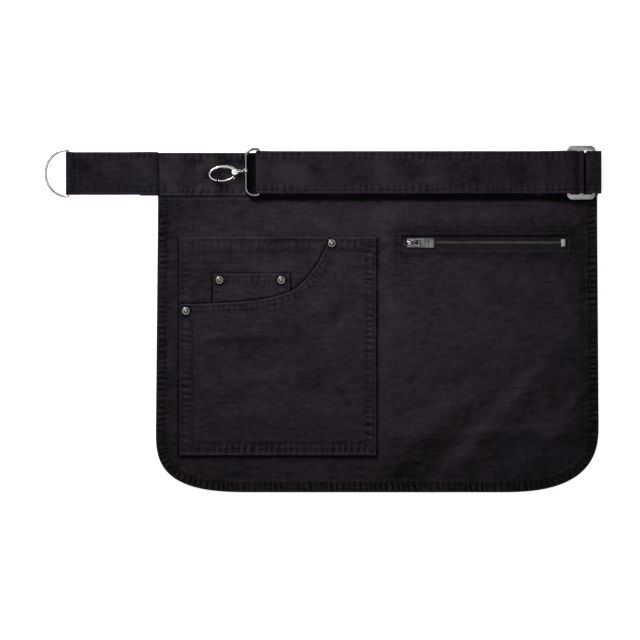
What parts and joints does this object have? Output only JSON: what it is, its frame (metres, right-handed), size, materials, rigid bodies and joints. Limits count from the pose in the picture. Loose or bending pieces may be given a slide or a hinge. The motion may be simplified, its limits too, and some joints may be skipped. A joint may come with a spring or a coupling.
{
  "type": "waist apron",
  "caption": "Short canvas waist apron laid flat, with scooped patch pocket, small coin pocket, zip pocket, D-ring tab and a buckled belt strap with a snap hook.",
  "frame": {"origin": "middle of the footprint, on the surface that the apron lies on", "axes": "+X along the waistband from the D-ring to the slide buckle, +Y up the cloth to the waistband, +Z out of the surface"},
  "size_m": [0.557, 0.3466, 0.013],
  "materials": {
    "canvas": "matt cotton canvas, dark aubergine black",
    "webbing": "matt folded canvas strap and zip tape",
    "nickel": "polished nickel",
    "steel": "satin steel",
    "dark_metal": "antique nickel"
  },
  "bodies": {
    "root": {"apron_panel": "canvas", "waistband": "canvas", "pocket_back": "canvas", "coin_pocket": "canvas", "pocket_front": "canvas", "zip_pocket_bag": "canvas", "ring_tab": "webbing", "belt_strap": "webbing", "zip_tape_upper": "webbing", "zip_tape_lower": "webbing", "slide_buckle": "steel", "zip_slider": "steel", "zip_chain": "dark_metal", "zip_stop": "dark_metal", "rivet_1": "dark_metal", "rivet_2": "dark_metal", "rivet_3": "dark_metal", "rivet_4": "dark_metal"},
    "d_ring": {"d_ring": "nickel"},
    "strap_ring": {"strap_ring": "nickel"},
    "hook": {"hook_eye": "nickel", "hook_body": "nickel"},
    "hook_gate": {"hook_gate": "nickel"},
    "zip_pull": {"zip_pull": "steel"}
  },
  "joints": [
    {"name": "d_ring_swing", "type": "hinge", "parent": "root", "child": "d_ring", "pos_m": [-0.25404, 0.1459, 0.00295], "axis": [0, 1, 0], "range_deg": [0, 110]},
    {"name": "strap_ring_swing", "type": "hinge", "parent": "root", "child": "strap_ring", "pos_m": [-0.06364, 0.1468, 0.0071], "axis": [0, 1, 0], "range_deg": [0, 60]},
    {"name": "hook_swing", "type": "hinge", "parent": "strap_ring", "child": "hook", "pos_m": [-0.07664, 0.148, 0.0071], "axis": [0, 1, 0], "range_deg": [0, 100]},
    {"name": "gate_open", "type": "hinge", "parent": "hook", "child": "hook_gate", "pos_m": [-0.08759, 0.14704, 0.00679], "axis": [0.0278, 0.0024, -0.9996], "range_deg": [0, 20], "stiffness_Nm_per_rad": 0.002, "springref_deg": -11.46},
    {"name": "pull_flip", "type": "hinge", "parent": "root", "child": "zip_pull", "pos_m": [0.09021, 0.07625, 0.00635], "axis": [0, -1, 0], "range_deg": [0, 130]}
  ]
}
